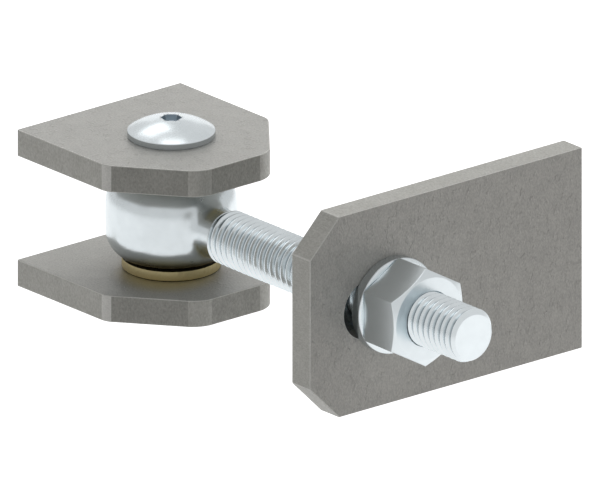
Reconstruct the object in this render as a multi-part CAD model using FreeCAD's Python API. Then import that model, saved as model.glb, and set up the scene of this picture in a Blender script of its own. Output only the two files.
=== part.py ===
import FreeCAD, Part
import math
import os
from FreeCAD import Vector

# Adjustable weld-on gate hinge, in millimetres. Z is the swing axis, X runs along the threaded
# shank and Y along the gate plate. The origin is on the swing axis, half way between the post plates.

# Clearances
pin_clearance = 0.05          # radial, pin in bush and plates, thread in nut
face_clearance = 0.05         # between flat faces that slide or turn on each other

# Eye bolt: a forged barrel-shaped eye and a threaded shank, in one piece
eye_diameter = 28.0
eye_height = 18.6
eye_round_radius = 6.5        # rounding between the side and the flat faces
eye_face_inset = 4.9          # radial, from the side of the eye to the edge of its flat face
neck_diameter = 10.8
neck_length = 4.2             # from the side of the eye to the first thread
neck_fillet = 4.0
shank_diameter = 12.0
shank_reach = 99.2            # swing axis to tip
shank_start_chamfer = 0.6
shank_tip_chamfer = 1.0

# Flanged bushes, one in each end of the eye
bush_wall = 1.0
bush_sleeve_length = 7.0
bush_flange_diameter = 21.0
bush_flange_thickness = 2.25
bush_edge_chamfer = 0.25

# Post plates, above and below the eye
post_plate_length = 45.0
post_plate_width = 45.0
post_plate_thickness = 6.0
pivot_setback = 23.8          # weld edge to swing axis
post_clip_length = 16.0
post_clip_depth = 13.0
shoulder_radius = 3.5
nose_radius = 6.0

# Hinge pin: a barrel nut from below and a screw into it from above, with the same domed head
pin_diameter = 12.0
pin_end_gap = 0.4             # barrel end below the upper plate's outer face, so the heads can clamp
head_diameter = 18.7
head_rim_height = 1.3
head_dome_radius = 16.5
socket_across_flats = 4.0
socket_depth = 2.6
socket_turn = 50.0            # degrees from X, where the heads came to rest
screw_diameter = 8.0
screw_length = 22.0
screw_end_chamfer = 0.8
barrel_bore_extra = 2.0       # bore depth beyond the screw's end

# Gate plate, clamped on the shank
gate_plate_length = 75.0
gate_plate_height = 45.0
gate_plate_thickness = 6.0
gate_plate_distance = 65.8    # swing axis to the plate's back face
gate_corner_clip = 8.0
slot_width = 13.1
slot_length = 25.2
slot_setback = 22.0           # clipped end of the plate to the middle of the slot

# Washers and nuts, one of each on both sides of the gate plate
washer_diameter = 21.1
washer_thickness = 2.75
washer_bore_diameter = 13.0
washer_chamfer_height = 0.5
washer_chamfer_width = 1.05
nut_across_flats = 19.0
nut_height = 10.0
nut_face_diameter = 18.2      # circle where the corner chamfer meets the outer face
nut_chamfer_angle = 30.0
nut_mouth_chamfer = 0.25

# Derived places
eye_radius = eye_diameter / 2
eye_half_height = eye_height / 2
pin_radius = pin_diameter / 2
bush_radius = pin_radius + pin_clearance + bush_wall
plate_gap = eye_height + 2 * (bush_flange_thickness + face_clearance)
thread_start = eye_radius + neck_length
gate_plate_front = gate_plate_distance + gate_plate_thickness


def revolved(points):
    """Solid turned about Z from (radius, height) points joined by straight lines."""
    corners = [Vector(radius, 0, height) for radius, height in points]
    face = Part.Face(Part.makePolygon(corners + corners[:1]))
    return face.revolve(Vector(0, 0, 0), Vector(0, 0, 1), 360)


def hexagonal_prism(across_flats, height):
    """Hexagonal prism on Z with two of its corners on the X axis."""
    radius = across_flats / math.sqrt(3)
    angles = [math.radians(60 * side) for side in range(6)]
    corners = [Vector(radius * math.cos(angle), radius * math.sin(angle), 0) for angle in angles]
    return Part.Face(Part.makePolygon(corners + corners[:1])).extrude(Vector(0, 0, height))


def along_shank(shape, distance):
    """Lay a solid that stands on Z along +X, starting at a distance from the swing axis."""
    placed = shape.copy()
    placed.rotate(Vector(0, 0, 0), Vector(0, 1, 0), 90)
    placed.translate(Vector(distance, 0, 0))
    return placed


def mirrored_across_gate_plate(shape):
    middle = Vector(gate_plate_distance + gate_plate_thickness / 2, 0, 0)
    return shape.mirror(middle, Vector(1, 0, 0))


def eye_barrel():
    centre_radius = eye_radius - eye_round_radius
    face_radius = eye_radius - eye_face_inset
    rise = math.sqrt(eye_round_radius ** 2 - (face_radius - centre_radius) ** 2)
    straight = eye_half_height - rise
    middle_angle = math.atan2(rise, face_radius - centre_radius) / 2
    bulge_radius = centre_radius + eye_round_radius * math.cos(middle_angle)
    bulge_height = straight + eye_round_radius * math.sin(middle_angle)

    def point(radius, height):
        return Vector(radius, 0, height)

    upper = Part.Arc(point(eye_radius, straight), point(bulge_radius, bulge_height),
                     point(face_radius, eye_half_height))
    lower = Part.Arc(point(face_radius, -eye_half_height), point(bulge_radius, -bulge_height),
                     point(eye_radius, -straight))
    side = Part.LineSegment(point(eye_radius, -straight), point(eye_radius, straight))
    top = Part.LineSegment(point(face_radius, eye_half_height), point(0, eye_half_height))
    axis = Part.LineSegment(point(0, eye_half_height), point(0, -eye_half_height))
    bottom = Part.LineSegment(point(0, -eye_half_height), point(face_radius, -eye_half_height))
    outline = Part.Wire([line.toShape() for line in (lower, side, upper, top, axis, bottom)])
    return Part.Face(outline).revolve(Vector(0, 0, 0), Vector(0, 0, 1), 360)


def neck_root_edges(shape):
    """Edges where the neck leaves the eye: both ends of each lie on the neck and near the eye."""
    def on_neck(vertex):
        off_axis = math.hypot(vertex.Y, vertex.Z)
        return abs(off_axis - neck_diameter / 2) < 0.01 and 0 < vertex.X < eye_radius

    def on_root(edge):
        middle = edge.valueAt((edge.FirstParameter + edge.LastParameter) / 2)
        return all(on_neck(vertex) for vertex in edge.Vertexes) and middle.x < eye_radius
    return [edge for edge in shape.Edges if on_root(edge)]


def threaded_shank():
    """Shank at its outer thread diameter, from the neck to the chamfered tip."""
    radius = shank_diameter / 2
    length = shank_reach - thread_start
    profile = [(0, 0), (neck_diameter / 2, 0), (radius, shank_start_chamfer)]
    profile += [(radius, length - shank_tip_chamfer), (radius - shank_tip_chamfer, length), (0, length)]
    return along_shank(revolved(profile), thread_start)


def eye_bolt():
    neck = Part.makeCylinder(neck_diameter / 2, thread_start, Vector(0, 0, 0), Vector(1, 0, 0))
    head = eye_barrel().fuse(neck)
    head = head.makeFillet(neck_fillet, neck_root_edges(head))
    bore = Part.makeCylinder(bush_radius, eye_height, Vector(0, 0, -eye_half_height))
    return head.fuse(threaded_shank()).cut(bore).removeSplitter()


def upper_bush():
    """Sleeve pressed into the eye from above, with its flange on the eye's flat face."""
    bore_radius = pin_radius + pin_clearance
    flange_radius = bush_flange_diameter / 2
    flange_top = eye_half_height + bush_flange_thickness
    sleeve_end = eye_half_height - bush_sleeve_length
    profile = [(bore_radius, sleeve_end), (bush_radius, sleeve_end), (bush_radius, eye_half_height)]
    profile += [(flange_radius, eye_half_height), (flange_radius, flange_top - bush_edge_chamfer)]
    profile += [(flange_radius - bush_edge_chamfer, flange_top), (bore_radius, flange_top)]
    return revolved(profile)


def post_plate(bottom):
    weld_edge = -pivot_setback
    shoulder = weld_edge + post_plate_length - post_clip_length
    nose = weld_edge + post_plate_length
    half_width = post_plate_width / 2
    half_nose = half_width - post_clip_depth
    near_side = [(weld_edge, -half_width), (shoulder, -half_width), (nose, -half_nose)]
    far_side = [(x, -y) for x, y in reversed(near_side)]
    corners = [Vector(x, y, bottom) for x, y in near_side + far_side]
    face = Part.Face(Part.makePolygon(corners + corners[:1]))
    plate = face.extrude(Vector(0, 0, post_plate_thickness))
    plate = plate.makeFillet(shoulder_radius, upright_edges(plate, shoulder))
    plate = plate.makeFillet(nose_radius, upright_edges(plate, nose))
    hole = Part.makeCylinder(pin_radius + pin_clearance, post_plate_thickness, Vector(0, 0, bottom))
    return plate.cut(hole)


def upright_edges(plate, x):
    """Edges of a flat plate that stand along Z at one X."""
    def stands_at(edge):
        return all(abs(vertex.X - x) < 0.01 for vertex in edge.Vertexes) and edge.BoundBox.YLength < 0.01
    return [edge for edge in plate.Edges if stands_at(edge)]


def domed_head():
    """Head that sits on Z = 0: straight rim, spherical dome and hexagon socket."""
    radius = head_diameter / 2
    dome_centre = head_rim_height - math.sqrt(head_dome_radius ** 2 - radius ** 2)
    crown = dome_centre + head_dome_radius
    blank = Part.makeCylinder(radius, crown)
    dome = Part.makeSphere(head_dome_radius, Vector(0, 0, dome_centre))
    socket = hexagonal_prism(socket_across_flats, socket_depth)
    socket.rotate(Vector(0, 0, 0), Vector(0, 0, 1), socket_turn)
    socket.translate(Vector(0, 0, crown - socket_depth))
    return blank.common(dome).cut(socket)


def pivot_screw():
    """Screw from above: its head bears on the upper post plate."""
    radius = screw_diameter / 2
    profile = [(0, 0), (radius, 0), (radius, screw_end_chamfer - screw_length)]
    profile += [(radius - screw_end_chamfer, -screw_length), (0, -screw_length)]
    screw = domed_head().fuse(revolved(profile))
    screw.translate(Vector(0, 0, plate_gap / 2 + post_plate_thickness))
    return screw


def pivot_barrel():
    """Barrel nut from below: its smooth outside is the hinge pin, and the screw threads into it."""
    length = plate_gap + 2 * post_plate_thickness - pin_end_gap
    bore_depth = screw_length - pin_end_gap + barrel_bore_extra
    head = domed_head()
    head.rotate(Vector(0, 0, 0), Vector(1, 0, 0), 180)
    bore = Part.makeCylinder(screw_diameter / 2 + pin_clearance, bore_depth, Vector(0, 0, length - bore_depth))
    barrel = head.fuse(Part.makeCylinder(pin_radius, length)).cut(bore)
    barrel.translate(Vector(0, 0, -plate_gap / 2 - post_plate_thickness))
    return barrel


def gate_plate():
    clipped_end = -slot_setback
    weld_end = clipped_end + gate_plate_length
    half_height = gate_plate_height / 2
    low_side = [(weld_end, -half_height), (clipped_end + gate_corner_clip, -half_height)]
    low_side += [(clipped_end, gate_corner_clip - half_height)]
    high_side = [(y, -z) for y, z in reversed(low_side)]
    corners = [Vector(gate_plate_distance, y, z) for y, z in low_side + high_side]
    face = Part.Face(Part.makePolygon(corners + corners[:1]))
    return face.extrude(Vector(gate_plate_thickness, 0, 0)).cut(slot())


def slot():
    """Cutter for the slot: two round ends and the straight part between them."""
    radius = slot_width / 2
    spacing = slot_length - slot_width
    along_x = Vector(1, 0, 0)
    ends = [Vector(gate_plate_distance, side * spacing / 2, 0) for side in (-1, 1)]
    rounds = [Part.makeCylinder(radius, gate_plate_thickness, end, along_x) for end in ends]
    corner = Vector(gate_plate_distance, -spacing / 2, -radius)
    middle = Part.makeBox(gate_plate_thickness, spacing, slot_width, corner)
    return middle.multiFuse(rounds)


def front_washer():
    """Thick washer whose chamfered edge faces the nut."""
    bore_radius = washer_bore_diameter / 2
    radius = washer_diameter / 2
    profile = [(bore_radius, 0), (radius, 0), (radius, washer_thickness - washer_chamfer_height)]
    profile += [(radius - washer_chamfer_width, washer_thickness), (bore_radius, washer_thickness)]
    return along_shank(revolved(profile), gate_plate_front + face_clearance)


def front_nut():
    """Hexagon nut with its corners chamfered at the outer face and a countersunk thread."""
    corner_radius = nut_across_flats / math.sqrt(3)
    face_radius = nut_face_diameter / 2
    corner_drop = (corner_radius - face_radius) * math.tan(math.radians(nut_chamfer_angle))
    bore_radius = shank_diameter / 2 + pin_clearance
    mouth_radius = bore_radius + nut_mouth_chamfer
    profile = [(mouth_radius, 0), (corner_radius, 0), (corner_radius, nut_height - corner_drop)]
    profile += [(face_radius, nut_height), (mouth_radius, nut_height)]
    profile += [(bore_radius, nut_height - nut_mouth_chamfer), (bore_radius, nut_mouth_chamfer)]
    nut = hexagonal_prism(nut_across_flats, nut_height).common(revolved(profile))
    return along_shank(nut, gate_plate_front + washer_thickness + 2 * face_clearance)


nodes = {
    "upper_post_plate": post_plate(plate_gap / 2),
    "lower_post_plate": post_plate(-plate_gap / 2 - post_plate_thickness),
    "pivot_screw": pivot_screw(),
    "pivot_barrel": pivot_barrel(),
    "eye_bolt": eye_bolt(),
    "upper_bush": upper_bush(),
    "lower_bush": upper_bush().mirror(Vector(0, 0, 0), Vector(0, 0, 1)),
    "gate_plate": gate_plate(),
    "front_washer": front_washer(),
    "rear_washer": mirrored_across_gate_plate(front_washer()),
    "front_nut": front_nut(),
    "rear_nut": mirrored_across_gate_plate(front_nut()),
}

os.makedirs("parts", exist_ok=True)
for name, shape in nodes.items():
    shape.exportStep("parts/" + name + ".step")
    print(name, "valid" if shape.isValid() else "INVALID", len(shape.Solids), round(shape.Volume, 1))
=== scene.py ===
import bmesh
import bpy
import math
from mathutils import Euler, Matrix, Vector


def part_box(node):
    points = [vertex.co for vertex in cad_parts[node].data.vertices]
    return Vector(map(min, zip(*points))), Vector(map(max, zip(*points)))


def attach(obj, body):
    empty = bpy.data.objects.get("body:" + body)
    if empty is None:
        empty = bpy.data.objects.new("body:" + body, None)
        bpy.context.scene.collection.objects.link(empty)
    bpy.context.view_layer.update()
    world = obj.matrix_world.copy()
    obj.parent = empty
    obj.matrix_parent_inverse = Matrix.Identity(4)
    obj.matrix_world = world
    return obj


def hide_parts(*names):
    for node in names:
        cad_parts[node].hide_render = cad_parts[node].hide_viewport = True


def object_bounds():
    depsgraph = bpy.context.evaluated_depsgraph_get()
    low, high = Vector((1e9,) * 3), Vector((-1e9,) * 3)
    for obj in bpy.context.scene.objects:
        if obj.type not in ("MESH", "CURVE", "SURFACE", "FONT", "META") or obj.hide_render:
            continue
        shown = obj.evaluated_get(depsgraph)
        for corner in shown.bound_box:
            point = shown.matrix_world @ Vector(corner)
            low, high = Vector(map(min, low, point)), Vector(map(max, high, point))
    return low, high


# Adjustable weld-on gate hinge, dressed round its CAD frame. Sizes are in metres, and mm turns millimetres
# into them. Z is the swing axis, X runs along the threaded shank and Y along the gate plate.
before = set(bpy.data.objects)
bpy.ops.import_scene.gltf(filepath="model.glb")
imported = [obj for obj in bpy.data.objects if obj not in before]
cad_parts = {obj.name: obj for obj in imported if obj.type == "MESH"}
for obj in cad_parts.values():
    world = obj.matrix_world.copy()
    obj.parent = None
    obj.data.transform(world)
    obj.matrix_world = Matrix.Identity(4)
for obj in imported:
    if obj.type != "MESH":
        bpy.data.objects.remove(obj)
cad_low, cad_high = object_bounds()
mm = 0.001


# Camera. The photograph is parallel-projected, from 50 degrees round and 20 degrees up.
# Its scale and the point in its middle come from the lengths of the plates and the shank.
view_round = 50
view_rise = 20
photo_width = 600                                       # in pixels
pixels_per_mm = 4.738
picture_middle = Vector((27.16 * mm, -7.65 * mm, 0.6))  # right, up and back to the camera, from the origin
view_turn = Euler((math.radians(90 - view_rise), 0, math.radians(view_round)))
bpy.ops.object.camera_add(location=view_turn.to_matrix() @ picture_middle, rotation=view_turn)
camera = bpy.context.object
camera.data.type = "ORTHO"
camera.data.ortho_scale = photo_width / pixels_per_mm * mm
bpy.context.scene.camera = camera


# Post plates. Two pieces of 6 mm hot rolled mild steel plate, cut to shape and left uncoated for welding.
# The square edge goes on the post. The two front corners are clipped, and rounded at both ends of the clip.
clip_length = 16 * mm
clip_depth = 13 * mm
shoulder_radius = 3.5 * mm
nose_radius = 6 * mm
arris = 0.2 * mm              # sharp edges are broken by this much
pin_radius = 6 * mm
running_gap = 0.05 * mm       # between the pin and what it runs in
overrun = 1 * mm              # a cutting tool runs past the piece by this much
touch = 0.01 * mm             # places nearer to each other than this are one place


def take_up(piece):
    """Select just this piece and make it the active one."""
    bpy.ops.object.select_all(action="DESELECT")
    piece.select_set(True)
    bpy.context.view_layer.objects.active = piece


def settle(name):
    """Name the new piece and put its place, turn and size into its mesh."""
    bpy.ops.object.transform_apply(location=True, rotation=True, scale=True)
    bpy.context.object.name = name
    return bpy.context.object


def start_block(name, low, high):
    """A box between two corners, alone in the selection."""
    bpy.ops.object.select_all(action="DESELECT")
    bpy.ops.mesh.primitive_cube_add(size=1, location=(low + high) / 2, scale=high - low)
    return settle(name)


def start_round(name, radius, low, high, axis="Z", sides=128, turned=0):
    """A cylinder or prism along X or Z, between two distances, turned by an angle in degrees."""
    upright = axis == "Z"
    middle = (0, 0, (low + high) / 2) if upright else ((low + high) / 2, 0, 0)
    lie_down = Matrix.Rotation(0 if upright else math.radians(90), 3, "Y")
    turn = lie_down @ Matrix.Rotation(math.radians(turned), 3, "Z")
    bpy.ops.object.select_all(action="DESELECT")
    bpy.ops.mesh.primitive_cylinder_add(vertices=sides, radius=radius, depth=high - low, location=middle,
                                        rotation=turn.to_euler())
    return settle(name)


def pick(kind, test):
    """In edit mode, select just the faces or the edges that pass the test."""
    bpy.ops.mesh.select_mode(type=kind)
    bpy.ops.mesh.select_all(action="DESELECT")
    mesh = bmesh.from_edit_mesh(bpy.context.object.data)
    for part in mesh.faces if kind == "FACE" else mesh.edges:
        part.select_set(bool(test(part)))
    bmesh.update_edit_mesh(bpy.context.object.data)


def pick_faces(test):
    """In edit mode, select just the faces whose middle and normal pass the test."""
    pick("FACE", lambda face: test(face.calc_center_median(), face.normal))


def pick_edges(test):
    """In edit mode, select just the edges whose two ends pass the test."""
    pick("EDGE", lambda edge: test(edge.verts[0].co, edge.verts[1].co))


def combine(piece, tool, operation="DIFFERENCE"):
    """Cut, join or intersect a piece with another solid, which is then used up."""
    change = piece.modifiers.new("combine", "BOOLEAN")
    change.object = tool
    change.operation = operation
    change.solver = "MANIFOLD"
    for material in piece.data.materials:
        tool.data.materials.append(material)
    take_up(piece)
    bpy.ops.object.modifier_apply(modifier=change.name)
    bpy.data.objects.remove(tool)


def slice_off(point, outwards):
    """In edit mode, cut the whole piece off flat beyond a plane, and close the cut."""
    finest = 0.0001 * mm      # far under the shortest edge of a cut thread, which a wider one would tear
    bpy.ops.mesh.select_all(action="SELECT")
    bpy.ops.mesh.bisect(plane_co=point, plane_no=outwards, use_fill=True, clear_outer=True, threshold=finest)


def break_edges(width, steps=2, slot=-1, sharpness=50):
    """In edit mode, bevel every edge that is sharper than an angle in degrees."""
    bpy.ops.mesh.select_mode(type="EDGE")
    bpy.ops.mesh.select_all(action="DESELECT")
    bpy.ops.mesh.edges_select_sharp(sharpness=math.radians(sharpness))
    bpy.ops.mesh.bevel(offset=width, segments=steps, profile=0.5, affect="EDGES", material=slot)


def finish_surface(piece, angle=40):
    """Merge what the tools left double, shade the curves smooth and keep the flat faces flat."""
    double = 0.0005 * mm
    take_up(piece)
    bpy.ops.object.mode_set(mode="EDIT")
    bpy.ops.mesh.select_all(action="SELECT")
    bpy.ops.mesh.remove_doubles(threshold=double)
    bpy.ops.mesh.normals_make_consistent(inside=False)
    bpy.ops.object.mode_set(mode="OBJECT")
    bpy.ops.object.shade_smooth_by_angle(angle=math.radians(angle))
    level = piece.modifiers.new("level", "WEIGHTED_NORMAL")
    level.keep_sharp = True
    bpy.ops.object.modifier_apply(modifier=level.name)


def copy_of(piece, name):
    """A copy with its own mesh, alone in the selection."""
    take_up(piece)
    bpy.ops.object.duplicate(linked=False)
    bpy.context.object.name = name
    return bpy.context.object


def use_materials(piece, *materials):
    """Give the piece these material slots, in this order."""
    piece.data.materials.clear()
    for material in materials:
        piece.data.materials.append(material)


def lay_material(slot):
    """In edit mode, give the faces that are selected one of the piece's materials."""
    bpy.context.object.active_material_index = slot
    bpy.ops.object.material_slot_assign()


def linear(code):
    """Linear colour of an sRGB hex code."""
    parts = [int(code[place:place + 2], 16) / 255 for place in (0, 2, 4)]
    return [part / 12.92 if part <= 0.04045 else ((part + 0.055) / 1.055) ** 2.4 for part in parts] + [1]


def node(tree, kind, links, **settings):
    """Add a shader node with its settings, and with a value or a link for each socket that is named.
    A socket is called by its number where the node has several of one name, as the mixing nodes do."""
    made = tree.nodes.new(kind)
    for name, value in settings.items():
        setattr(made, name, value)
    for name, value in links.items():
        if isinstance(value, bpy.types.NodeSocket):
            tree.links.new(value, made.inputs[name])
        else:
            made.inputs[name].default_value = value
    return made


def empty_material(name):
    """A material with an empty node tree, and that tree."""
    material = bpy.data.materials.new(name)
    material.use_nodes = True
    material.node_tree.nodes.clear()
    return material, material.node_tree


def toned_over(tree, colour, distance, plain_at, full_at, over_tone):
    """A colour with a second tone over it, which grows from nothing at one distance to its full tone at
    another. Most such tones here are painted shade or a painted reflection.
    """
    amount = node(tree, "ShaderNodeMapRange", {"Value": distance, "From Min": plain_at, "From Max": full_at},
                  interpolation_type="SMOOTHSTEP")
    return node(tree, "ShaderNodeMix", {"Factor": amount.outputs[0], 6: colour, 7: linear(over_tone)},
                data_type="RGBA").outputs[2]


def rolled_steel(name, dark, light, grain, stretch, metallic, roughness, dented=1, bronze_glow=None):
    """Bare low-carbon steel: a dull warm grey, faintly clouded by the rolls, with a fine grain that may run
    one way and small dents where scale was rolled in. A painted reflection can tint it round a point."""
    cloud = 4 * mm
    dent = 1.3 * mm
    relief_height = 0.05 * mm
    material, tree = empty_material(name)
    place = node(tree, "ShaderNodeTexCoord", {}).outputs["Object"]
    along = node(tree, "ShaderNodeMapping", {"Vector": place, "Scale": stretch}).outputs[0]
    fine = node(tree, "ShaderNodeTexNoise", {"Vector": along, "Scale": 1 / grain, "Detail": 3,
                                             "Roughness": 0.6}).outputs[0]
    clouds = node(tree, "ShaderNodeTexNoise", {"Vector": place, "Scale": 1 / cloud, "Detail": 3}).outputs[0]
    both = node(tree, "ShaderNodeMix", {"Factor": 0.2, 2: fine, 3: clouds}, data_type="FLOAT").outputs[0]
    tone = node(tree, "ShaderNodeValToRGB", {"Fac": both})
    for stop, position, code in zip(tone.color_ramp.elements, (0.36, 0.64), (dark, light)):
        stop.position = position
        stop.color = linear(code)
    colour = tone.outputs["Color"]
    if bronze_glow:
        middle, full_within, gone_beyond, over_tone = bronze_glow
        flat = node(tree, "ShaderNodeVectorMath", {0: place, 1: (1, 1, 0)}, operation="MULTIPLY")
        distance = node(tree, "ShaderNodeVectorMath", {0: flat.outputs[0], 1: middle}, operation="DISTANCE")
        colour = toned_over(tree, colour, distance.outputs["Value"], gone_beyond, full_within, over_tone)
    rough = node(tree, "ShaderNodeMapRange", {"Value": both, "From Min": 0.3, "From Max": 0.7,
                                              "To Min": roughness + 0.08, "To Max": roughness - 0.08})
    pits = node(tree, "ShaderNodeTexNoise", {"Vector": along, "Scale": 1 / dent, "Detail": 2})
    dents = node(tree, "ShaderNodeMapRange", {"Value": pits.outputs[0], "From Min": 0.56, "From Max": 0.68},
                 interpolation_type="SMOOTHSTEP")
    relief = node(tree, "ShaderNodeMath", {0: dents.outputs[0], 1: 2 * dented, 2: fine},
                  operation="MULTIPLY_ADD")
    bump = node(tree, "ShaderNodeBump", {"Height": relief.outputs[0], "Strength": 1,
                                         "Distance": relief_height})
    steel = node(tree, "ShaderNodeBsdfPrincipled", {"Base Color": colour, "Metallic": metallic,
                                                    "Roughness": rough.outputs[0],
                                                    "Normal": bump.outputs[0]})
    node(tree, "ShaderNodeOutputMaterial", {"Surface": steel.outputs[0]})
    return material


# The real grain is under 0.1 mm. It is drawn at 0.4 mm, which is two pixels, because it wouldn't show finer.
# Faces off the rolls shine a little. Cut edges are duller, with a grain through the thickness, and the
# clipped faces are painted darker: painted shade, on the side that takes least light. Broken arrises are fine
# pale lines of deburred metal with painted sheen, and the rounded shoulders take this paler steel as painted
# sheen. Round the lower bush the plate is painted yellow: a painted reflection of the bronze, and painted
# light against the shade under the eye.
even_grain = (1, 1, 1)
upright_grain = (1, 1, 0.6)
few_dents = 0.25
plate_face = rolled_steel("hot_rolled_steel_face", "adaca8", "c3c2bc", 0.4 * mm, even_grain, 0.3, 0.35)
plate_edge = rolled_steel("laser_cut_steel_edge", "b4b3ac", "cbcac4", 0.35 * mm, upright_grain, 0.2, 0.45,
                          few_dents)
# The clipped faces are painted darker than the other cut edges: painted shade on the side that takes least
# light.
plate_clip = rolled_steel("clipped_steel_edge_painted_shade", "989791", "b2b1ab", 0.35 * mm, upright_grain, 0.2, 0.45,
                          few_dents)
# Paler steel for the arrises and the rounded shoulders: deburred metal, and painted sheen.
plate_arris = rolled_steel("deburred_steel_arris_and_painted_sheen", "dad9d4", "ebeae5", 0.4 * mm, even_grain, 0.2, 0.45,
                           few_dents)
# The lower plate's top face: the yellow patch round the bush is a painted reflection of the bronze, and
# painted light in the shade under the eye.
bronze_lit_face = rolled_steel("hot_rolled_steel_face_with_painted_bronze_reflection", "b1b0ac", "c7c6c0", 0.4 * mm, even_grain,
                          0.2, 0.45, 0.5, ((3.9 * mm, -4.6 * mm, 0), 6 * mm, 12.5 * mm, "cbc09a"))
edge_slot, arris_slot, clip_slot, bronze_lit_slot = 1, 2, 3, 4

low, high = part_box("upper_post_plate")
shoulder = high.x - clip_length
clip_turn = math.atan2(clip_depth, clip_length)
upper_plate = start_block("upper_post_plate_steel", low, high)
use_materials(upper_plate, plate_face, plate_edge, plate_arris, plate_clip)
bpy.ops.object.mode_set(mode="EDIT")
for side in (-1, 1):
    slice_off((shoulder, side * high.y, 0), (clip_depth, side * clip_length, 0))
pick_faces(lambda middle, normal: abs(normal.z) < 0.5)
lay_material(edge_slot)
pick_faces(lambda middle, normal: normal.x > 0.5)
lay_material(clip_slot)
# The shoulder's rounding takes the paler arris steel, as painted sheen.
for corner_x, radius, turn, slot in ((shoulder, shoulder_radius, clip_turn, arris_slot),
                                     (high.x, nose_radius, math.pi / 2 - clip_turn, edge_slot)):
    pick_edges(lambda a, b: abs(a.z - b.z) > mm and abs(a.x - corner_x) < touch)
    bpy.ops.mesh.bevel(offset=radius * math.tan(turn / 2), segments=12, profile=0.5, affect="EDGES",
                       material=slot)
bpy.ops.object.mode_set(mode="OBJECT")
combine(upper_plate, start_round("pin_hole", pin_radius + running_gap, low.z - overrun, high.z + overrun))
bpy.ops.object.mode_set(mode="EDIT")
break_edges(arris, slot=arris_slot)
bpy.ops.object.mode_set(mode="OBJECT")
finish_surface(upper_plate)

lower_plate = copy_of(upper_plate, "lower_post_plate_steel")
bpy.ops.object.mode_set(mode="EDIT")
bpy.ops.mesh.select_all(action="SELECT")
bpy.ops.transform.translate(value=(0, 0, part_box("lower_post_plate")[0].z - low.z))
lower_plate.data.materials.append(bronze_lit_face)
# The lower plate's top takes the face with the painted bronze reflection.
pick_faces(lambda middle, normal: normal.z > 0.9)
lay_material(bronze_lit_slot)
bpy.ops.object.mode_set(mode="OBJECT")

for piece, cad_node in ((upper_plate, "upper_post_plate"), (lower_plate, "lower_post_plate")):
    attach(piece, "post")
    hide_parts(cad_node)


# Bushes. Flanged plain bearings of sintered bronze, pressed into the eye from above and below.
# The flanges keep the eye off the post plates. The edge next to each plate is chamfered.
bush_wall = 1 * mm
flange_thickness = 2.25 * mm
bush_chamfer = 0.25 * mm
bush_arris = 0.06 * mm
bore_radius = pin_radius + running_gap


def mirrored_copy(piece, name, axis, middle=(0, 0, 0)):
    """A copy that is mirrored along one axis about a point, with its faces turned outwards again."""
    mirrored = copy_of(piece, name)
    bpy.ops.object.mode_set(mode="EDIT")
    bpy.ops.mesh.select_all(action="SELECT")
    bpy.ops.transform.mirror(orient_type="GLOBAL", constraint_axis=(axis == "X", axis == "Y", axis == "Z"),
                             center_override=middle)
    bpy.ops.mesh.normals_make_consistent(inside=False)
    bpy.ops.object.mode_set(mode="OBJECT")
    return mirrored


def sintered_bronze(name, dark, light):
    """Oil-soaked sintered bronze, turned: a dull yellow tan with a satin skin, fine pores and faint turning
    marks. Both are under 0.1 mm, and are drawn at 0.5 and 0.3 mm, because they wouldn't show finer."""
    pore = 0.5 * mm
    turning_mark = 0.3 * mm
    mark_height = 0.02 * mm
    material, tree = empty_material(name)
    place = node(tree, "ShaderNodeTexCoord", {}).outputs["Object"]
    around = node(tree, "ShaderNodeMapping", {"Vector": place, "Scale": (0.2, 0.2, 1)})
    turned = node(tree, "ShaderNodeTexNoise", {"Vector": around.outputs[0], "Scale": 1 / turning_mark,
                                               "Detail": 3})
    pores = node(tree, "ShaderNodeTexNoise", {"Vector": place, "Scale": 1 / pore, "Detail": 2}).outputs[0]
    tone = node(tree, "ShaderNodeValToRGB", {"Fac": pores})
    for stop, position, code in zip(tone.color_ramp.elements, (0.35, 0.7), (dark, light)):
        stop.position = position
        stop.color = linear(code)
    rough = node(tree, "ShaderNodeMapRange", {"Value": pores, "From Min": 0.3, "From Max": 0.7,
                                              "To Min": 0.46, "To Max": 0.44})
    bump = node(tree, "ShaderNodeBump", {"Height": turned.outputs[0], "Strength": 0.05,
                                         "Distance": mark_height})
    bronze = node(tree, "ShaderNodeBsdfPrincipled", {"Base Color": tone.outputs["Color"], "Metallic": 0.5,
                                                     "Roughness": rough.outputs[0],
                                                     "Normal": bump.outputs[0]})
    node(tree, "ShaderNodeOutputMaterial", {"Surface": bronze.outputs[0]})
    return material


# The flange's rim is clean and pale. Its chamfer, and its face against the eye, are painted near black:
# painted shade in the narrow gaps at the eye and at the plate.
clean_bronze = sintered_bronze("sintered_bronze_turned", "d2c393", "d6c797")
shaded_bronze = sintered_bronze("sintered_bronze_painted_shade", "453f2a", "504931")
shade_slot = 1

low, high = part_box("upper_bush")
flange_radius = high.x
eye_top = high.z - flange_thickness
upper_bush = start_round("upper_bush_bronze", flange_radius, eye_top, high.z)
use_materials(upper_bush, clean_bronze, shaded_bronze)
bpy.ops.object.mode_set(mode="EDIT")
pick_faces(lambda middle, normal: normal.z < -0.9)
bpy.ops.mesh.inset(thickness=flange_radius - bore_radius - bush_wall)
bpy.ops.mesh.extrude_region_move(TRANSFORM_OT_translate={"value": (0, 0, low.z - eye_top)})
bpy.ops.mesh.inset(thickness=bush_wall)
pick_faces(lambda middle, normal: normal.z > 0.9)
bpy.ops.mesh.inset(thickness=flange_radius - bore_radius)
pick_faces(lambda middle, normal: abs(normal.z) > 0.9 and middle.xy.length < touch)
bpy.ops.mesh.bridge_edge_loops()
pick_edges(lambda a, b: min(a.z, b.z) > high.z - touch
           and min(a.xy.length, b.xy.length) > flange_radius - touch)
bpy.ops.mesh.bevel(offset=bush_chamfer, segments=2, profile=0.5, affect="EDGES")
pick_faces(lambda middle, normal: (0.1 < normal.z < 0.9 or normal.z < -0.9) and middle.z > eye_top - touch)
lay_material(shade_slot)
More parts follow.
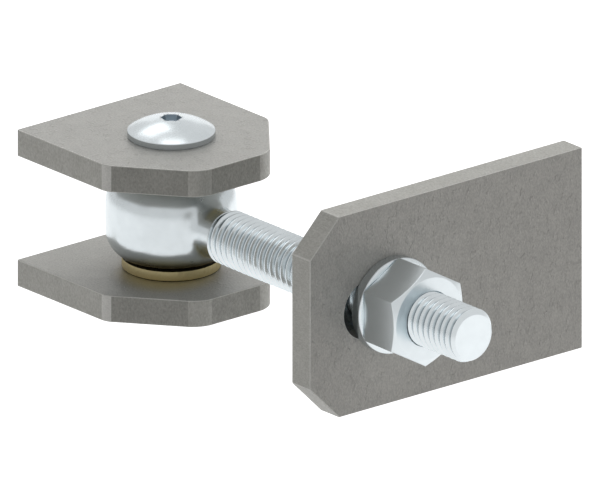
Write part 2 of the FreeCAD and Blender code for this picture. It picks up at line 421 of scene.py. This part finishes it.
break_edges(bush_arris)
bpy.ops.object.mode_set(mode="OBJECT")
finish_surface(upper_bush)
lower_bush = mirrored_copy(upper_bush, "lower_bush_bronze", "Z")

for piece, cad_node in ((upper_bush, "upper_bush"), (lower_bush, "lower_bush")):
    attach(piece, "eye")
    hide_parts(cad_node)


# Eye bolt. One steel forging: a barrel-shaped eye that runs through a short smooth neck into the shank,
# with an M12 thread rolled on the shank, a chamfered tip, and bright zinc plating all over.
eye_radius = 14 * mm
eye_round = 6.5 * mm
eye_straight = 3 * mm         # half the height of the upright part of the side
window_floor = 9.5 * mm       # how far from the swing axis the eye is opened for the neck
neck_radius = 5.4 * mm
blend_radius = 7.4 * mm       # where the neck's flare leaves the eye
blend_end = 15.9 * mm
skin_grain = 0.25 * mm
neck_overlap = 0.3 * mm       # the neck runs this far into the thread's first turn
thread_start = 18.2 * mm
thread_radius = 6 * mm
pitch = 1.75 * mm
first_tooth = thread_start + 0.53 * mm
tip_chamfer = 1 * mm
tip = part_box("eye_bolt")[1].x
bush_radius = bore_radius + bush_wall


def bright_zinc(name, dark, light, roughness, wave, wave_height, dull=None):
    """Bright zinc plating with a clear passivation: a cool white, half blurred mirror over the surface that
    the steel had before, which waves it a little. Part of a piece can be given a darker tone, which is
    painted shade in most uses: its place is weighted and measured as one length or one sum, and the darker
    tone comes in between two such measures."""
    haze_patch = 2.5 * mm
    material, tree = empty_material(name)
    place = node(tree, "ShaderNodeTexCoord", {}).outputs["Object"]
    waves = node(tree, "ShaderNodeTexNoise", {"Vector": place, "Scale": 1 / wave, "Detail": 1})
    haze = node(tree, "ShaderNodeTexNoise", {"Vector": place, "Scale": 1 / haze_patch,
                                             "Detail": 4}).outputs[0]
    tone = node(tree, "ShaderNodeValToRGB", {"Fac": haze})
    for stop, position, code in zip(tone.color_ramp.elements, (0.3, 0.7), (dark, light)):
        stop.position = position
        stop.color = linear(code)
    colour = tone.outputs["Color"]
    if dull:
        measure, weights, bright_at, dull_at, dull_colour = dull
        weighed = node(tree, "ShaderNodeVectorMath", {0: place, 1: weights}, operation="MULTIPLY")
        distance = node(tree, "ShaderNodeVectorMath", {0: weighed.outputs[0], 1: (1, 1, 1)},
                        operation=measure)
        colour = toned_over(tree, colour, distance.outputs["Value"], bright_at, dull_at, dull_colour)
    rough = node(tree, "ShaderNodeMapRange", {"Value": haze, "From Min": 0.3, "From Max": 0.7,
                                              "To Min": roughness + 0.015, "To Max": roughness - 0.015})
    bump = node(tree, "ShaderNodeBump", {"Height": waves.outputs[0], "Strength": 0.1,
                                         "Distance": wave_height})
    zinc = node(tree, "ShaderNodeBsdfPrincipled", {"Base Color": colour, "Metallic": 1,
                                                   "Roughness": rough.outputs[0],
                                                   "Normal": bump.outputs[0]})
    node(tree, "ShaderNodeOutputMaterial", {"Surface": zinc.outputs[0]})
    return material


def pick_rims(test):
    """In edit mode, select just the open edges whose middle passes the test."""
    pick("EDGE", lambda edge: len(edge.link_faces) < 2 and test((edge.verts[0].co + edge.verts[1].co) / 2))


def threaded_rod(name, radius, low, high):
    """A right-hand thread along X with flat ends: one tooth is drawn point by point and screwed along the
    axis. Every rod's thread is in step with the shank's, so that a nut cut with one fits it."""
    start = first_tooth + pitch * math.floor((low - first_tooth) / pitch - 1)
    depth = pitch * 3 / 8 * math.tan(math.radians(60))
    steps_a_turn = 56
    double = 0.001 * mm
    bpy.ops.object.select_all(action="DESELECT")
    bpy.ops.mesh.primitive_plane_add(size=pitch)
    rod = bpy.context.object
    rod.name = name
    bpy.ops.object.mode_set(mode="EDIT")
    bpy.ops.mesh.select_mode(type="VERT")
    bpy.ops.mesh.merge(type="CENTER")
    bpy.ops.mesh.select_all(action="SELECT")
    bpy.ops.transform.translate(value=(start, 0, radius - depth))
    for along, out in ((1 / 16, 0), (3 / 8, depth), (1 / 8, 0), (3 / 8, -depth), (1 / 16, 0)):
        bpy.ops.mesh.extrude_vertices_move(TRANSFORM_OT_translate={"value": (along * pitch, 0, out)})
    mesh = bmesh.from_edit_mesh(rod.data)
    for corner in mesh.verts:
        corner.select_set(len(corner.link_edges) == 2)
    bmesh.update_edit_mesh(rod.data)
    bpy.ops.mesh.bevel(offset=pitch / 14, segments=2, profile=0.5, affect="VERTICES")
    bpy.ops.object.mode_set(mode="OBJECT")
    helix = rod.modifiers.new("helix", "SCREW")
    helix.axis = "X"
    helix.screw_offset = pitch
    helix.iterations = math.ceil((high - start) / pitch) + 2
    helix.steps = helix.render_steps = steps_a_turn
    helix.use_merge_vertices = True
    helix.merge_threshold = double
    bpy.ops.object.modifier_apply(modifier=helix.name)
    bpy.ops.object.mode_set(mode="EDIT")
    bpy.ops.mesh.select_all(action="SELECT")
    bpy.ops.mesh.remove_doubles(threshold=double)
    slice_off((low, 0, 0), (-1, 0, 0))
    slice_off((high, 0, 0), (1, 0, 0))
    bpy.ops.mesh.select_all(action="SELECT")
    bpy.ops.mesh.normals_make_consistent(inside=False)
    bpy.ops.object.mode_set(mode="OBJECT")
    return rod


# The forging mirrors softly, and its underside is painted dark: painted shade, where little light reaches it.
# The rolled thread is the sharpest mirror, painted a little greyer down in its valleys as painted shade, and
# the turned tip is blurred by its tool marks.
forged_zinc = bright_zinc("bright_zinc_on_forging", "dbe2e5", "e0e7ea", 0.26, 6 * mm, 0.002 * mm,
                          ("DOT_PRODUCT", (0, 0, -1), 5.5 * mm, 8.2 * mm, "2a2722"))
# The thread's valleys are painted greyer: painted shade in the grooves.
thread_zinc = bright_zinc("bright_zinc_on_rolled_thread", "e2e9ec", "e8eff2", 0.18, 4 * mm, 0.002 * mm,
                          ("LENGTH", (0, 1, 1), 5.5 * mm, 5.05 * mm, "a9b0b4"))
tip_zinc = bright_zinc("bright_zinc_on_turned_tip", "eaf1f4", "eef5f8", 0.3, 6 * mm, 0.001 * mm)
thread_slot, tip_slot = 1, 2

eye_half = eye_straight + eye_round
eye_bolt = start_round("eye_bolt_zinc", eye_radius, -eye_half, eye_half, sides=96)
bpy.ops.object.mode_set(mode="EDIT")
pick_edges(lambda a, b: abs(a.z - b.z) < touch and abs(a.z) > eye_straight)
bpy.ops.mesh.bevel(offset=eye_round, segments=16, profile=0.5, affect="EDGES")
slice_off((0, 0, eye_top), (0, 0, 1))
slice_off((0, 0, -eye_top), (0, 0, -1))
pick_faces(lambda middle, normal: abs(middle.z) < touch)
bpy.ops.mesh.subdivide(number_cuts=3)
bpy.ops.object.mode_set(mode="OBJECT")

# A round window is cut in the side, and its rim is drawn out as a cone to the neck's own size. The cone is
# then taken out again, and a smooth flare bridges the window and the neck in its place.
combine(eye_bolt, start_round("window", blend_radius, window_floor, 2 * eye_radius, "X", sides=96))
bpy.ops.object.mode_set(mode="EDIT")
pick_faces(lambda middle, normal: middle.x > window_floor - touch and middle.yz.length < blend_radius
           and (abs(normal.x) < 0.001 or middle.x < window_floor + touch))
bpy.ops.mesh.delete(type="FACE")
pick_rims(lambda middle: True)
bpy.ops.mesh.extrude_edges_move()
to_neck = neck_radius / blend_radius
bpy.ops.transform.resize(value=(0, to_neck, to_neck), center_override=(0, 0, 0))
bpy.ops.transform.translate(value=(blend_end, 0, 0))
neck_length = thread_start + overrun - blend_end
bpy.ops.mesh.extrude_edges_move(TRANSFORM_OT_translate={"value": (neck_length, 0, 0)})
cone_from = eye_radius - 3 * mm
cone_within = blend_radius - 0.3 * mm
pick_faces(lambda middle, normal: cone_from < middle.x < blend_end - touch
           and middle.yz.length < cone_within)
bpy.ops.mesh.delete(type="FACE")
pick_rims(lambda middle: middle.x < thread_start)
bpy.ops.mesh.bridge_edge_loops(number_cuts=14, interpolation="SURFACE", smoothness=1)
pick_rims(lambda middle: True)
bpy.ops.mesh.edge_face_add()
bpy.ops.mesh.select_all(action="SELECT")
bpy.ops.mesh.normals_make_consistent(inside=False)
bpy.ops.object.mode_set(mode="OBJECT")

# The skin is laid anew in even squares and smoothed, as hammering leaves it, so that the flare has no seam.
eye_bolt.data.remesh_voxel_size = skin_grain
take_up(eye_bolt)
bpy.ops.object.voxel_remesh()
bpy.ops.object.mode_set(mode="EDIT")
bpy.ops.mesh.select_all(action="SELECT")
bpy.ops.mesh.vertices_smooth(factor=0.5, repeat=26)
slice_off((thread_start + neck_overlap, 0, 0), (1, 0, 0))
bpy.ops.object.mode_set(mode="OBJECT")
combine(eye_bolt, start_round("bush_bore", bush_radius, -eye_top - overrun, eye_top + overrun))

# The blank is a little wider than the thread. It sets the two ends: a short run-in and a chamfered tip.
blank_radius = thread_radius + 0.05 * mm
blank = start_round("blank", blank_radius, thread_start, tip, "X", sides=96)
bpy.ops.object.mode_set(mode="EDIT")
for end, end_radius in ((thread_start, neck_radius), (tip, thread_radius - tip_chamfer)):
    pick_edges(lambda a, b: abs(a.x - end) < touch and abs(b.x - end) < touch)
    bpy.ops.mesh.bevel(offset=blank_radius - end_radius, segments=1, affect="EDGES")
bpy.ops.object.mode_set(mode="OBJECT")
shank = threaded_rod("shank", thread_radius, thread_start - pitch, tip + pitch)
combine(shank, blank, "INTERSECT")
combine(eye_bolt, shank, "UNION")
use_materials(eye_bolt, forged_zinc, thread_zinc, tip_zinc)
bpy.ops.object.mode_set(mode="EDIT")
for start, slot in ((thread_start + touch, thread_slot), (tip - tip_chamfer, tip_slot)):
    pick_faces(lambda middle, normal: middle.x > start)
    lay_material(slot)
bpy.ops.object.mode_set(mode="OBJECT")
finish_surface(eye_bolt)
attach(eye_bolt, "eye")
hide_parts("eye_bolt")


# Hinge pin. A domed screw from above goes into a barrel nut from below, whose smooth outside is the pin.
# Both are cold-headed, zinc plated, and have a hexagon socket in the crown of the dome.
rim_height = 1.3 * mm
dome_radius = 16.5 * mm
socket_width = 4 * mm
socket_depth = 2.6 * mm
socket_turn = 20              # in degrees, as the screw was left
head_arris = 0.12 * mm
screw_radius = 4 * mm
bore_spare = 2 * mm           # the barrel is bored this far past the screw's end
head_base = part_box("upper_post_plate")[1].z
head_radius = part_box("pivot_screw")[1].x
screw_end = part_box("pivot_screw")[0].z
pin_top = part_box("pivot_barrel")[1].z

# Cold heading leaves a smooth dome that mirrors softly above a greyer rim. The punched socket is rougher, and
# painted a little darker: painted shade in the recess.
rim_top = head_base + rim_height
headed_zinc = bright_zinc("bright_zinc_on_cold_heading", "e0e7ea", "e6edf0", 0.25, 6 * mm, 0.002 * mm,
                          ("LENGTH", (0, 0, 1), rim_top, rim_top - 0.1 * mm, "c0c6c9"))
socket_zinc = bright_zinc("bright_zinc_in_a_punched_socket", "d0d9df", "d8e1e7", 0.3, 4 * mm, 0.002 * mm)
socket_slot = 1

dome_centre = rim_top - math.sqrt(dome_radius ** 2 - head_radius ** 2)
crown = dome_centre + dome_radius
bpy.ops.object.select_all(action="DESELECT")
bpy.ops.mesh.primitive_uv_sphere_add(segments=128, ring_count=96, radius=dome_radius,
                                     location=(0, 0, dome_centre))
head = settle("domed_head")
bpy.ops.object.mode_set(mode="EDIT")
slice_off((0, 0, rim_top), (0, 0, -1))
pick_faces(lambda middle, normal: normal.z < -0.9)
bpy.ops.mesh.extrude_region_move(TRANSFORM_OT_translate={"value": (0, 0, -rim_height)})
bpy.ops.object.mode_set(mode="OBJECT")
combine(head, start_round("socket", socket_width / math.sqrt(3), crown - socket_depth, crown + overrun,
                          sides=6, turned=socket_turn))
use_materials(head, headed_zinc, socket_zinc)
bpy.ops.object.mode_set(mode="EDIT")
pick_faces(lambda middle, normal: middle.xy.length < socket_width
           and (abs(normal.z) < 0.5 or middle.z < crown - mm))
lay_material(socket_slot)
break_edges(head_arris, steps=3)
bpy.ops.object.mode_set(mode="OBJECT")

pivot_barrel = mirrored_copy(head, "pivot_barrel_zinc", "Z")
combine(pivot_barrel, start_round("pin", pin_radius, -head_base - 0.5 * rim_height, pin_top), "UNION")
combine(pivot_barrel, start_round("pin_bore", screw_radius + running_gap, screw_end - bore_spare,
                                  pin_top + overrun))
finish_surface(pivot_barrel)

pivot_screw = head
pivot_screw.name = "pivot_screw_zinc"
combine(pivot_screw, start_round("screw_shank", screw_radius, screw_end, head_base + 0.5 * rim_height,
                                 sides=64), "UNION")
finish_surface(pivot_screw)

for piece, cad_node in ((pivot_screw, "pivot_screw"), (pivot_barrel, "pivot_barrel")):
    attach(piece, "post")
    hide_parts(cad_node)


# Gate plate. The same 6 mm plate, with one end square for welding to the gate and two clipped corners at the
# other. A slot lets the shank sit off centre, so that the gate is set sideways before the nuts are done up.
gate_clip = 8 * mm
slot_radius = 6.55 * mm
slot_spread = 12.1 * mm       # between the middles of the slot's two round ends

# The face off the rolls has a finer grain and deeper dents than the post plates, both drawn out upright.
# The cut edges have their grain through the thickness, which lies along the shank here.
lying_grain = (0.6, 1, 1)
gate_face = rolled_steel("hot_rolled_steel_face_upright", "a7a5a1", "bfbdb7", 0.3 * mm, upright_grain, 0.25,
                         0.4, 1.1)
gate_edge = rolled_steel("laser_cut_steel_edge_along", "b9b8b1", "cfcec8", 0.35 * mm, lying_grain, 0.2, 0.45,
                         few_dents)

low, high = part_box("gate_plate")
gate_middle = (low.x + high.x) / 2
gate_plate = start_block("gate_plate_steel", low, high)
use_materials(gate_plate, gate_face, gate_edge, plate_arris)
bpy.ops.object.mode_set(mode="EDIT")
for side in (-1, 1):
    slice_off((0, low.y + gate_clip, side * high.z), (0, -1, side))
bpy.ops.object.mode_set(mode="OBJECT")

# With 98 sides one face lies across the middle at the top and one at the bottom, and these two stretch as the
# slot's round ends are drawn apart.
slot = start_round("slot", slot_radius, low.x - overrun, high.x + overrun, "X", sides=98)
bpy.ops.object.mode_set(mode="EDIT")
for side in (-1, 1):
    pick_faces(lambda middle, normal: side * middle.y > 0 and abs(normal.x) < 0.5)
    bpy.ops.transform.translate(value=(0, side * slot_spread / 2, 0))
bpy.ops.object.mode_set(mode="OBJECT")
combine(gate_plate, slot)
bpy.ops.object.mode_set(mode="EDIT")
pick_faces(lambda middle, normal: abs(normal.x) < 0.5)
lay_material(edge_slot)
break_edges(arris, slot=arris_slot, sharpness=40)
bpy.ops.object.mode_set(mode="OBJECT")
finish_surface(gate_plate)
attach(gate_plate, "gate_side")
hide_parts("gate_plate")


# Washers. One thick zinc plated washer on each side of the gate plate, stamped, and chamfered on the face
# towards the nut. The nuts clamp the plate between the two of them.
washer_bore = 6.5 * mm
washer_chamfer_height = 0.5 * mm
washer_chamfer_width = 1.05 * mm
washer_arris = 0.1 * mm

# Stamping leaves a plain surface that mirrors softly, and a sheared rim, which is painted a little greyer:
# painted shade, where its side mirrors the shaded plate.
stamped_zinc = bright_zinc("bright_zinc_on_stamping", "e3eaed", "e8eff2", 0.22, 4 * mm, 0.002 * mm,
                           ("LENGTH", (0, 1, 1), 10.3 * mm, 10.5 * mm, "cbd1d4"))

low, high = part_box("front_washer")
washer_radius = high.y
front_washer = start_round("front_washer_zinc", washer_radius, low.x, high.x - washer_chamfer_height, "X")
bpy.ops.object.mode_set(mode="EDIT")
pick_faces(lambda middle, normal: normal.x > 0.9)
bpy.ops.mesh.extrude_region_move(TRANSFORM_OT_translate={"value": (washer_chamfer_height, 0, 0)})
to_face = 1 - washer_chamfer_width / washer_radius
bpy.ops.transform.resize(value=(1, to_face, to_face), center_override=(0, 0, 0))
bpy.ops.mesh.inset(thickness=washer_radius - washer_chamfer_width - washer_bore)
pick_faces(lambda middle, normal: normal.x < -0.9)
bpy.ops.mesh.inset(thickness=washer_radius - washer_bore)
pick_faces(lambda middle, normal: abs(normal.x) > 0.9 and middle.yz.length < touch)
bpy.ops.mesh.bridge_edge_loops()
break_edges(washer_arris, steps=3, sharpness=30)
bpy.ops.object.mode_set(mode="OBJECT")
use_materials(front_washer, stamped_zinc)
finish_surface(front_washer, angle=50)
rear_washer = mirrored_copy(front_washer, "rear_washer_zinc", "X", (gate_middle, 0, 0))

for piece, cad_node in ((front_washer, "front_washer"), (rear_washer, "rear_washer")):
    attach(piece, "washers")
    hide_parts(cad_node)


# Nuts. Two M12 hexagon nuts, pressed from bar, chamfered on the face away from the plate, tapped and zinc
# plated. The thread inside each is in step with the shank's, as a nut's is wherever it stands on its bolt.
nut_width = 19 * mm
nut_face_radius = 9.1 * mm
nut_chamfer_slope = math.tan(math.radians(30))
nut_arris = 0.1 * mm
nut_clearance = 0.06 * mm
mouth_chamfer = 0.1 * mm
mouth_depth = 1.45 * mm
mouth_proud = 0.25 * mm       # how far the countersink tool stands out of the nut

# Pressing leaves a soft mirror with long, low waves in it.
pressed_zinc = bright_zinc("bright_zinc_on_pressing", "e3eaed", "e7eef1", 0.3, 5 * mm, 0.002 * mm)

low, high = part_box("front_nut")
corner_radius = nut_width / math.sqrt(3)
turned_radius = corner_radius + 0.3 * mm      # clear of the corners
cone_height = (turned_radius - nut_face_radius) * nut_chamfer_slope
front_nut = start_round("front_nut_zinc", corner_radius, low.x, high.x + overrun, "X", sides=6, turned=30)
cone = start_round("turned_face", turned_radius, low.x - overrun, high.x - cone_height, "X")
bpy.ops.object.mode_set(mode="EDIT")
pick_faces(lambda middle, normal: normal.x > 0.9)
bpy.ops.mesh.extrude_region_move(TRANSFORM_OT_translate={"value": (cone_height, 0, 0)})
to_face = nut_face_radius / turned_radius
bpy.ops.transform.resize(value=(1, to_face, to_face), center_override=(0, 0, 0))
bpy.ops.object.mode_set(mode="OBJECT")
combine(front_nut, cone, "INTERSECT")
bpy.ops.object.mode_set(mode="EDIT")
break_edges(nut_arris, steps=3, sharpness=25)
bpy.ops.object.mode_set(mode="OBJECT")
use_materials(front_nut, pressed_zinc)
rear_nut = mirrored_copy(front_nut, "rear_nut_zinc", "X", (gate_middle, 0, 0))

# Each nut is tapped, and a 45 degree countersink opens both ends of its thread, down past the root.
for piece, cad_node, body in ((front_nut, "front_nut", "outer_nut"), (rear_nut, "rear_nut", "inner_nut")):
    low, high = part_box(cad_node)
    tapped_radius = thread_radius + nut_clearance
    combine(piece, threaded_rod("tap", tapped_radius, low.x - overrun, high.x + overrun))
    for face, outwards in ((low.x, -1), (high.x, 1)):
        wide = tapped_radius + mouth_chamfer + mouth_proud
        deep, proud = face - outwards * mouth_depth, face + outwards * mouth_proud
        mouth = start_round("mouth", wide, min(deep, proud), max(deep, proud), "X")
        bpy.ops.object.mode_set(mode="EDIT")
        pick_faces(lambda middle, normal: outwards * normal.x < -0.9)
        to_root = 1 - (mouth_depth + mouth_proud) / wide
        bpy.ops.transform.resize(value=(1, to_root, to_root), center_override=(0, 0, 0))
        bpy.ops.object.mode_set(mode="OBJECT")
        combine(piece, mouth)
    finish_surface(piece)
    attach(piece, body)
    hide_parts(cad_node)


# Floor and light. A plain white floor lies some way below the hinge, which hangs from its post. The floor
# and the world look white to the camera and bright in the zinc, but give the dull steel much less light.
# Three soft boxes show in the bright zinc, and four fills light only what is dull.
floor_drop = 70 * mm
floor_seen = 0.9
floor_mirrored = 0.7
world_light = 0.16
world_mirrored = 0.56
lamp_distance = 0.7
aim = Vector((30 * mm, 0, 0))

bpy.ops.object.select_all(action="DESELECT")
bpy.ops.mesh.primitive_plane_add(size=4, location=(0, 0, cad_low.z - floor_drop))
floor = bpy.context.object
floor.name = "studio_floor"
material, tree = empty_material("white_floor")
path = node(tree, "ShaderNodeLightPath", {})
mirrored = node(tree, "ShaderNodeMath", {0: path.outputs["Is Glossy Ray"], 1: floor_mirrored},
                operation="MULTIPLY")
shine = node(tree, "ShaderNodeMath", {0: path.outputs["Is Camera Ray"], 1: floor_seen,
                                      2: mirrored.outputs[0]}, operation="MULTIPLY_ADD")
glow = node(tree, "ShaderNodeEmission", {"Color": linear("ffffff"), "Strength": shine.outputs[0]})
matt = node(tree, "ShaderNodeBsdfDiffuse", {"Color": linear("dadada")})
both = node(tree, "ShaderNodeAddShader", {0: glow.outputs[0], 1: matt.outputs[0]})
node(tree, "ShaderNodeOutputMaterial", {"Surface": both.outputs[0]})
floor.data.materials.append(material)

world = bpy.data.worlds.new("studio")
bpy.context.scene.world = world
world.use_nodes = True
tree = world.node_tree
tree.nodes.clear()
path = node(tree, "ShaderNodeLightPath", {})
level = node(tree, "ShaderNodeMath", {0: path.outputs["Is Glossy Ray"], 1: world_mirrored, 2: world_light},
             operation="MULTIPLY_ADD")
white = node(tree, "ShaderNodeMath", {0: path.outputs["Is Camera Ray"], 1: level.outputs[0]},
             operation="ADD", use_clamp=True)
sky = node(tree, "ShaderNodeBackground", {"Color": linear("ffffff"), "Strength": white.outputs[0]})
node(tree, "ShaderNodeOutputWorld", {"Surface": sky.outputs[0]})

# Bearings are in degrees from the shank's own way, and the camera stands at -40.
for name, bearing, rise, size, power, in_the_zinc in (("overhead_softbox", -40, 88, 0.36, 0.32, True),
                                                      ("key_softbox", 164, 50, 0.28, 0.24, True),
                                                      ("backdrop_softbox", 140, 12, 0.36, 0.14, True),
                                                      ("back_fill", 140, 40, 0.45, 1.5, False),
                                                      ("back_right_fill", 95, 40, 0.45, 0.8, False),
                                                      ("right_fill", 50, 12, 0.45, 0.6, False),
                                                      ("left_fill", 230, 12, 0.45, 0.45, False)):
    towards = Euler((0, math.radians(-rise), math.radians(bearing))).to_matrix() @ Vector((1, 0, 0))
    place = aim + lamp_distance * towards
    facing = (place - aim).to_track_quat("Z", "Y").to_euler()
    bpy.ops.object.light_add(type="AREA", location=place, rotation=facing)
    lamp = bpy.context.object
    lamp.name = name
    lamp.data.shape = "SQUARE"
    lamp.data.size = size
    lamp.data.energy = power
    lamp.visible_camera = False
    lamp.visible_glossy = in_the_zinc

bpy.context.scene.view_settings.view_transform = "Standard"
